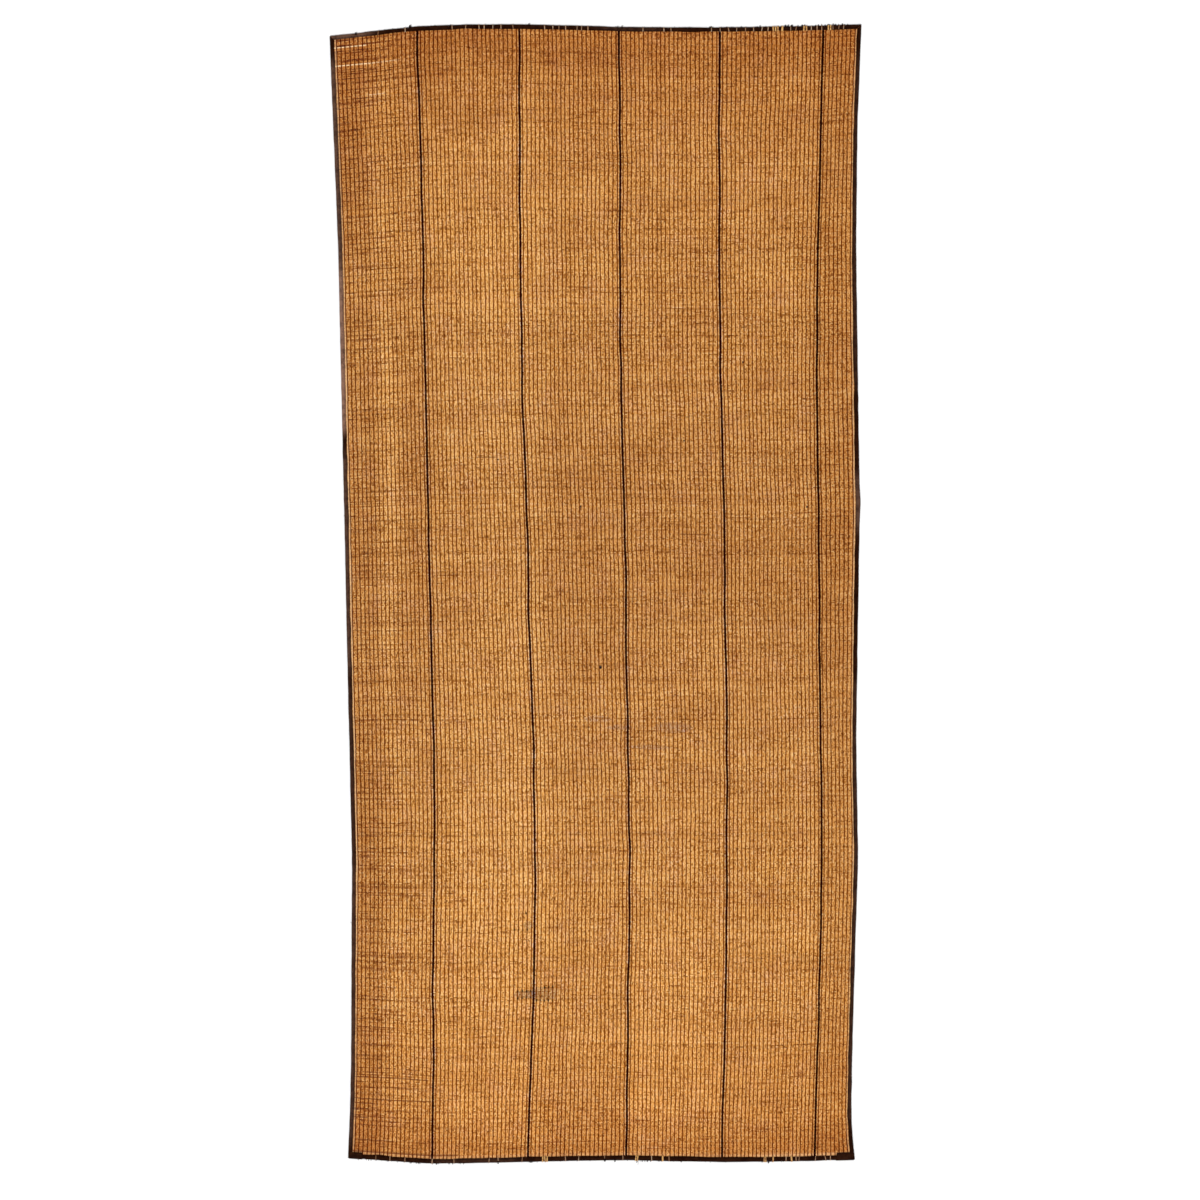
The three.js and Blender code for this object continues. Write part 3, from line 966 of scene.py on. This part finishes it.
def make_binding(side):
    """One strip of leather, folded over an edge of the mat and mitred where it meets the next."""
    length, width = side_length(side), BINDING_WIDTHS[side]
    first_corner, last_corner = (BINDING_WIDTHS[end] / width for end in ENDS_OF[side])
    path = fold_path(width)
    piece = make_grid(round(length / BINDING_STEP), len(path) - 1)
    points = read_points(piece)
    part, turn = points[:, 0], points[:, 1] * (len(path) - 1)
    inset, height = follow(path, turn)
    start = inset * first_corner + GAP
    end = length - inset * last_corner - GAP
    run = start + (end - start) * part

    # The upper leg is puckered, and its edge wanders away from the corners
    along = part * length
    free = smooth_step(np.minimum(along, length - along), *CORNER_EASE)
    upper = smooth_step(height, BINDING_TOP / 2, BINDING_TOP * 0.8)
    inner = smooth_step(inset, INNER_FROM, width)
    shift = inner * wander(along, *INNER_WANDER) + (1 - inner) * wander(along, *OUTER_WANDER)
    inset = inset + free * shift
    height = height + upper * free * np.abs(wander(along, *PUCKER)) * inner
    if side == BULGE_SIDE:
        bulge = BULGE_REACH * np.exp(-((run - BULGE_MIDDLE) / BULGE_HALF) ** 2)
        inset = inset - bulge * (1 - 0.5 * inner)
    write_points(piece, *lay(*cut_place(side, run, inset)), height)
    write_attribute(
        piece, "strip", run, turn, binding_wear_and_sheen(side, run, inset, turn, len(path)))
    thicken(piece, LEATHER)
    return piece


# Strips over the end bindings, in millimetres: middle across the mat and width
LACINGS = {
    "top": ((1376, 21), (1396, 10), (1464, 15), (1537, 14)),
    "bottom": ((639, 21), (931, 12), (1016, 9), (1353, 11), (1380, 7), (1441, 9)),
}
CORNER_PATCH = (1609.5, 55)
CORNER_LAP = (24, 44)
STRAND_WIDTH = 7
STRAND_SHARE = 0.66
STRIP_SKEW = 1.1 * MM
STRIP_CROWN = 0.12 * MM
EDGE_WEAR = 0.12

# Thin thong ends over the end bindings: middle across the mat
THONG_ENDS = {
    "top": (
        149, 232, 377, 419, 460, 476, 503, 528, 565, 664, 690, 709, 730, 766, 780, 800, 972, 1037,
        1059, 1185, 1212, 1237, 1261, 1287, 1311, 1336, 1354, 1421, 1437, 1482, 1499, 1513, 1548,
        1567, 1582),
    "bottom": (
        41, 89, 134, 182, 269, 341, 457, 487, 566, 704, 746, 828, 886, 980, 1037, 1423, 1456,
        1466, 1520, 1550, 1565),
}

# Short leather ends past the end bindings: middle across the mat, width and how far out
STUBS = {
    "top": (
        (81, 5, 2), (247, 7, 6), (615, 4, 4), (894, 3, 3), (907, 4, 4), (1180, 4, 3), (1330, 4, 4),
        (1404, 4, 4), (1413, 4, 5), (1425, 4, 4)),
    "bottom": (
        (487, 4, 4), (595, 5, 3), (829, 6, 3), (861, 4, 5), (931, 2, 8), (966, 4, 4),
        (1365, 5, 5)),
}
STUB_TAPER, STUB_UNEVEN, STUB_THICKNESS, STUB_TONE = 0.35, 0.15 * MM, 0.7 * MM, 0.1
STUB_PATH = np.array(((7, 5.4), (3, 5.5), (0.2, 5.3), (-0.35, 4.7), (-0.7, 4.2), (-1, 3.9))) * MM


def over_edge_path(reach, lift, out, foot):
    """Middle of a strip in section: over the binding from `reach` in, and down round the edge."""
    top = BINDING_TOP + lift
    return np.array((
        (reach, top - 1.0 * MM),
        (reach - 1.5 * MM, top - 0.3 * MM),
        (reach - 3.5 * MM, top),
        (reach * 0.45, top + 0.05 * MM),
        (1.6 * MM, top),
        (0.2 * MM, top - 0.5 * MM),
        (-out, top - 1.6 * MM),
        (-out, top / 2),
        (-out, foot + 0.4 * MM),
        (-out * 0.7, foot),
    ))


def grid_strips(rows, path, cells):
    """Flat strips in a row, a grid of points on each. With the piece come each point's strip, its
    side of the strip's middle, from -1 to 1, and its place on the path that all of them follow."""
    piece = make_grid(cells, len(path) - 1)
    repeat(piece, len(rows), (2, 0, 0))
    points = read_points(piece)
    number = np.floor(points[:, 0] / 2 + 1e-4).astype(int)
    side = (points[:, 0] - 2 * number) * 2 - 1
    turn = points[:, 1] * (len(path) - 1)
    return piece, number, side, turn


def make_strips(end, rows, path, thickness, tones):
    """Flat strips along one end of the mat, each following the same path over its edge."""
    piece, number, side, turn = grid_strips(rows, path, 4)
    middle, width = np.array(rows, float).T * MM
    inset, height = follow(path, turn)
    skew = rng.normal(0, STRIP_SKEW, len(rows))
    edge = 1 - EDGE_WEAR * rng.uniform(0, 1, len(turn)) * np.abs(side)
    lean = inset / BINDING_WIDTHS[end] - 0.5
    across = middle[number] + side * width[number] / 2 * edge + skew[number] * lean
    crown = STRIP_CROWN * (1 - side * side)
    write_points(piece, *lay(*cut_place(end, across, inset)), height + crown)
    write_attribute(piece, "strip", inset, np.abs(side), np.asarray(tones, float)[number])
    thicken(piece, thickness)
    return piece


def strands(middle, width):
    """The strands that lie side by side in one lacing, as (middle, width) rows."""
    count = max(1, round(width / STRAND_WIDTH))
    share = width / count
    return [
        (middle + (i - (count - 1) / 2) * share, share * STRAND_SHARE) for i in range(count)]


def make_stubs(end):
    """Short leather ends that stick out past an end binding."""
    piece, number, side, turn = grid_strips(STUBS[end], STUB_PATH, 2)
    middle, width, reach = np.array(STUBS[end], float).T * MM
    inset, height = follow(STUB_PATH, turn)
    inset = np.where(inset < 0, inset * reach[number] / MM, inset)
    taper = 1 - STUB_TAPER * smooth_step(turn, 2, 5)
    ragged = rng.normal(0, STUB_UNEVEN, len(turn))
    across = middle[number] + side * width[number] / 2 * taper + ragged
    write_points(piece, *lay(*cut_place(end, across, inset)), height)
    write_attribute(piece, "strip", inset, np.abs(side), STUB_TONE)
    thicken(piece, STUB_THICKNESS)
    return piece


# Sewing and threads

# A stitch has a ring at STITCH_RING of its length to each side of its middle, and its ends are
# thinner by STITCH_PINCH. SEWING_STITCH and MEND_STITCH are its length and width.
STITCH_RING, STITCH_PINCH = 0.22, 0.55

# The sewing runs SEWING_INSET outwards from a binding's inner edge, and stays clear of the corners.
# Each stitch is off its place by about SEWING_UNEVEN along, and by SEWING_ASIDE of that across.
SEWING_STITCH = (4.6 * MM, 1.0 * MM)
SEWING_PITCH = 9.5 * MM
SEWING_INSET = 4 * MM
SEWING_CLEAR = 15 * MM
SEWING_LIFT = 0.15 * MM
SEWING_UNEVEN, SEWING_ASIDE = 0.5 * MM, 0.6
SEWING_TONE = 0.4

# Loose threads: side, place along it, how far out, how far it leans and its width, in millimetres
LOOSE_THREADS = (
    ("bottom", 931, 16, 5, 1.3), ("bottom", 268, 5, 3, 1.3), ("left", 757, 5, 4, 1.3),
    ("left", 2073, 3, 4, 1.6),
)

# Where the end bindings are frayed: from where to where along them, how many ends and how far out
FRAYED_RUNS = {
    "top": (
        (30, 1160, 26, 3.5), (1170, 1345, 18, 4.5), (1345, 1410, 9, 4.5), (1405, 1600, 32, 6.5)),
    "bottom": ((15, 300, 20, 5), (300, 880, 16, 4.5), (880, 1120, 14, 5), (1120, 1500, 8, 3.5)),
}

# A frayed end's reach as a share of the most, and its lean and width in millimetres
FRAYED_REACHES, FRAYED_LEANS, FRAYED_WIDTHS = (0.4, 1), (-3, 3), (1.8, 3.6)

# A thread starts THREAD_ROOT in from the mat's edge, curls, thins and falls to the floor. These
# are in millimetres, apart from its curl and the share of its width that it loses.
THREAD_ROOT, THREAD_FOOT, THREAD_THICKNESS = 2, 0.8, 0.9
THREAD_CURL, THREAD_TAPER = 2.4, 0.5
THREAD_TONE = 0.6

# Mend stitches: at the thong rows from one place across the mat to another, with how far along
MEND_EDGES = ((530, 580, (545, 524)), (590, 650, (556, 514)), (520, 575, (742,)))
MEND_STITCH = (7.5 * MM, 4.6 * MM)
MEND_HEIGHT, MEND_FLATTENED = 3.7 * MM, 0.4
MEND_UNEVEN, MEND_SIZES = 1.2 * MM, (0.75, 1.15)
MEND_TONE = 0.2


def make_stitch(length, width):
    """One stitch: a short round-backed rod, lying along Y and tapered at its ends."""
    deselect_all()
    bpy.ops.mesh.primitive_cylinder_add(
        vertices=6, radius=width / 2, depth=length, rotation=(math.pi / 2, 0, 0))
    stitch = new_piece()
    cut_rings(stitch, (length * STITCH_RING, -length * STITCH_RING), axis=1)
    points = read_points(stitch)
    pinch = 1 - STITCH_PINCH * (np.abs(points[:, 1]) > length * 0.4)
    write_points(stitch, points[:, 0] * pinch, points[:, 1], points[:, 2] * pinch)
    bpy.ops.object.shade_smooth()
    return stitch


def sew_along(side):
    """The running stitches that hold one folded binding."""
    count = int((side_length(side) - 2 * SEWING_CLEAR) / SEWING_PITCH)
    stitches = make_stitch(*SEWING_STITCH)
    repeat(stitches, count, (0, 1, 0))
    points = read_points(stitches)
    number = np.rint(points[:, 1]).astype(int)
    shift = rng.normal(0, SEWING_UNEVEN, (2, count))
    middle = SEWING_CLEAR + SEWING_PITCH * (number + 0.5)
    run = middle + (points[:, 1] - number) + shift[0, number]
    aside = shift[1, number] * SEWING_ASIDE
    inset = BINDING_WIDTHS[side] - SEWING_INSET + points[:, 0] + aside
    place = cut_place(side, run, inset)
    write_points(stitches, *lay(*place), BINDING_TOP + SEWING_LIFT + points[:, 2])
    write_attribute(stitches, "cut", *place, SEWING_TONE)
    if side in ("left", "bottom"):
        face_outwards(stitches)
    return stitches


def make_mend_stitches():
    """Dark stitches at the upper and lower edge of each mended place, one at each thong row."""
    rows = [*row_places(1), *row_places(2)]
    spots = [(LINE_ACROSS[2], 545), (LINE_ACROSS[2], 553), (557 * MM, 794)]
    for low, high, edges in MEND_EDGES:
        spots += [(row, edge) for row in rows for edge in edges if low * MM < row < high * MM]
    stitches = make_stitch(*MEND_STITCH)
    repeat(stitches, len(spots), (0, 1, 0))
    points = read_points(stitches)
    number = np.rint(points[:, 1]).astype(int)
    middle = np.array([row for row, _ in spots])
    edge = np.array([edge for _, edge in spots]) * MM + rng.normal(0, MEND_UNEVEN, len(spots))
    size = rng.uniform(*MEND_SIZES, len(spots))
    across = middle[number] + points[:, 0] * size[number]
    along = edge[number] + (points[:, 1] - number) * size[number]
    write_points(stitches, *lay(across, along), MEND_HEIGHT + points[:, 2] * MEND_FLATTENED)
    write_attribute(stitches, "cut", across, along, MEND_TONE)
    return stitches


def frayed_ends():
    """Short ends along the end bindings, in the same form as the loose threads."""
    ends = []
    for side, runs in FRAYED_RUNS.items():
        for low, high, count, reach in runs:
            for run in rng.uniform(low, high, count):
                out = reach * rng.uniform(*FRAYED_REACHES)
                lean = rng.uniform(*FRAYED_LEANS)
                ends.append((side, run, out, lean, rng.uniform(*FRAYED_WIDTHS)))
    return ends


def make_threads(rows):
    """Thin threads that have come loose, and hang out over the mat's edge to the floor."""
    threads = []
    for side, run, reach, lean, width in rows:
        deselect_all()
        bpy.ops.mesh.primitive_cylinder_add(vertices=5, radius=0.5, depth=1, location=(0, 0, 0.5))
        thread = new_piece()
        cut_rings(thread, (0.25, 0.5, 0.75), axis=2)
        bpy.ops.object.shade_smooth()
        points = read_points(thread)
        out = points[:, 2]
        curl = lean * np.sin(out * THREAD_CURL) * MM
        breadth = width * MM * (1 - THREAD_TAPER * out)
        across_side = run * MM + curl + points[:, 0] * breadth
        inset = THREAD_ROOT * MM - out * (reach + THREAD_ROOT) * MM
        place = cut_place(side, across_side, inset)
        height = BINDING_TOP * (1 - out) ** 2 + THREAD_FOOT * MM
        write_points(thread, *lay(*place), height + points[:, 1] * THREAD_THICKNESS * MM)
        write_attribute(thread, "cut", *place, THREAD_TONE)
        face_outwards(thread)
        threads.append(thread)
    return join(threads)


# Stage

# The photograph's frame: its width at the mat, and its middle from the mat's
FRAME_WIDTH = 3.84
FRAME_MIDDLE = (14.4 * MM, -19.2 * MM)


def make_camera(lens, sensor):
    """Straight above, as high as it takes to span the photograph's width at the mat."""
    data = bpy.data.cameras.new("camera")
    data.lens = lens
    data.sensor_width = sensor
    camera = bpy.data.objects.new("camera", data)
    bpy.context.collection.objects.link(camera)
    camera.location = (*FRAME_MIDDLE, FRAME_WIDTH * lens / sensor + REED_TOP)
    bpy.context.scene.camera = camera


def make_light(name, strength, spread, tilt):
    """A soft, even studio light, tilted from straight above. The angles are in degrees."""
    data = bpy.data.lights.new(name, "SUN")
    data.energy = strength
    data.angle = math.radians(spread)
    light = bpy.data.objects.new(name, data)
    bpy.context.collection.objects.link(light)
    light.rotation_euler = (math.radians(tilt[0]), math.radians(tilt[1]), 0)


def make_stage():
    deselect_all()
    bpy.ops.mesh.primitive_plane_add(size=200, location=(0, 0, -0.6 * MM))
    floor = bpy.context.object
    floor.name = "floor"
    finish = Finish("plain pale floor")
    finish.shade(Base_Color=(0.88, 0.88, 0.88), Roughness=0.9)
    floor.data.materials.append(finish.material)
    make_light("key", strength=2.9, spread=30, tilt=(34, -22))
    make_light("fill", strength=1.4, spread=60, tilt=(-30, 28))
    world = bpy.data.worlds.new("studio")
    world.use_nodes = True
    background = world.node_tree.nodes["Background"]
    background.inputs["Color"].default_value = (1, 1, 1, 1)
    background.inputs["Strength"].default_value = 0.2
    bpy.context.scene.world = world
    bpy.context.scene.view_settings.view_transform = "Standard"


# The mat

make_camera(lens=85, sensor=36)
make_stage()

REED = reed_finish()
BROWN_THONG = thong_finish(
    "brown thong leather", deep=(0.175, 0.028, 0.001), paler_colour=(0.52, 0.162, 0.006),
    roughness=0.65, gloss=0.03)
DARK_THONG = thong_finish(
    "black thong leather", deep=(0.024, 0.002, 0.0003), paler_colour=(0.05, 0.008, 0.001),
    roughness=0.5, gloss=0.01)
# Its paler grey colour stands for worn leather and for a painted sheen on the fold
BINDING = binding_finish(
    "dark binding leather", deep=(0.009, 0.0016, 0.0004), plain=(0.022, 0.006, 0.0016),
    paler_colour=(0.23, 0.125, 0.085))
RAWHIDE = rawhide_finish("pale rawhide", pale=(0.66, 0.37, 0.1), shadow=(0.22, 0.075, 0.015))
THONG_END = rawhide_finish(
    "dusty thong ends", pale=(0.52, 0.39, 0.26), shadow=(0.25, 0.11, 0.04))
FRAYED = thong_finish(
    "frayed grey thread", deep=(0.1, 0.08, 0.06), paler_colour=(0.3, 0.25, 0.2),
    roughness=0.7, gloss=0.1)
THREAD = thong_finish(
    "dark sewing thong", deep=(0.012, 0.004, 0.002), paler_colour=(0.03, 0.011, 0.006),
    roughness=0.6, gloss=0.05)

reeds = finish_piece(make_reeds(), "reeds", REED, "reeds", "field")
for panel in range(len(PANELS)):
    piece = make_brown_thongs(panel)
    finish_piece(piece, f"brown_thongs_{panel + 1}", BROWN_THONG, "brown_thongs")
for line in range(1, len(LINE_ACROSS) - 1):
    piece = make_dark_line(line)
    finish_piece(
        piece, f"dark_line_{line}", DARK_THONG, "dark_thongs", f"dark_thong_{line}")

for side in BINDING_WIDTHS:
    piece = make_binding(side)
    finish_piece(
        piece, f"binding_strip_{side}", BINDING, "binding", f"binding_{side}")
sewing = join([sew_along(side) for side in BINDING_WIDTHS])
finish_piece(sewing, "binding_stitches", THREAD, "binding")
finish_piece(make_mend_stitches(), "mend_stitches", THREAD, "dark_thongs")

for end in ("top", "bottom"):
    path = over_edge_path(
        reach=BINDING_WIDTHS[end] + 1.5 * MM, lift=0.75 * MM, out=0.9 * MM, foot=0.6 * MM)
    for i, lacing in enumerate(LACINGS[end]):
        rows = strands(*lacing)
        tones = rng.uniform(0, 0.5, len(rows))
        piece = make_strips(end, rows, path, thickness=0.8 * MM, tones=tones)
        finish_piece(
            piece, f"lacing_strip_{end}_{i + 1}", RAWHIDE, "lacing", f"lacing_{end}_{i + 1}")
    path = over_edge_path(
        reach=BINDING_WIDTHS[end] + 0.5 * MM, lift=0.35 * MM, out=0.5 * MM, foot=0.8 * MM)
    rows = [(across, rng.uniform(1.4, 2.8)) for across in THONG_ENDS[end]]
    tones = rng.uniform(0, 1.3, len(rows))
    piece = make_strips(end, rows, path, thickness=0.5 * MM, tones=tones)
    finish_piece(piece, f"thong_ends_{end}", THONG_END, "lacing")
    finish_piece(make_stubs(end), f"thong_stubs_{end}", THREAD, "binding")

for name, strip, reach, out, thickness, nodes in (
        ("corner_leather", CORNER_PATCH, 24 * MM, 0.8 * MM, 1.0 * MM, ["corner_patch"]),
        ("corner_lap", CORNER_LAP, 21 * MM, 0.6 * MM, 0.9 * MM, [])):
    path = over_edge_path(reach, lift=0.85 * MM, out=out, foot=0.6 * MM)
    piece = make_strips("bottom", [strip], path, thickness, tones=[0.02])
    finish_piece(piece, name, BINDING, "binding", *nodes)
finish_piece(make_threads(LOOSE_THREADS), "loose_threads", FRAYED, "binding")
finish_piece(make_threads(frayed_ends()), "frayed_ends", THREAD, "binding")
